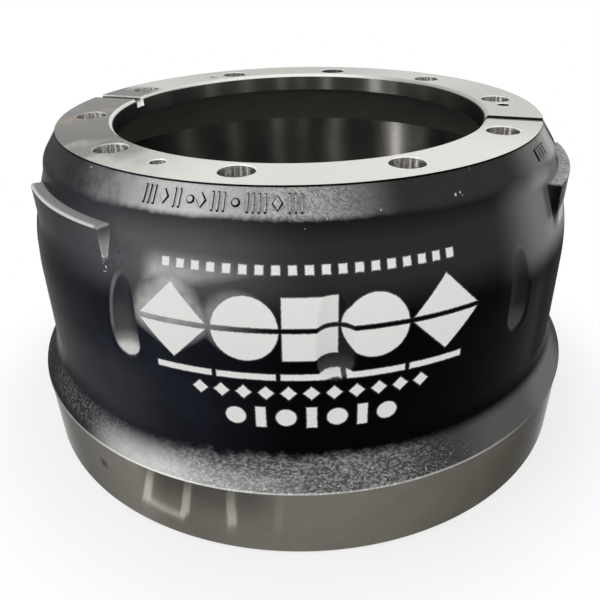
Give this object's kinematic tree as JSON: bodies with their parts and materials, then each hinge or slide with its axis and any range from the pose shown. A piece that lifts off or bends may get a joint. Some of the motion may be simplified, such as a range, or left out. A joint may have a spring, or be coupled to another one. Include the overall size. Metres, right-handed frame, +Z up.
{
  "type": "brake drum",
  "caption": "Heavy-vehicle brake drum cast in one piece, with a drilled mounting flange, pilot bore, deep friction bore, shoulder lugs, wall pockets and a thick turned rim.",
  "frame": {"origin": "on the drum's axis, in the plane of the rim of its open end, on which it stands", "axes": "+Z up the axis, from the open end to the mounting face; -Y is the front, with a pocket near its middle"},
  "size_m": [0.4738, 0.4738, 0.252],
  "materials": {
    "painted_iron": "satin black paint on rough grey iron; mounting face, bores and rim turned bare"
  },
  "bodies": {
    "root": {"brake_drum": "painted_iron"}
  },
  "joints": []
}
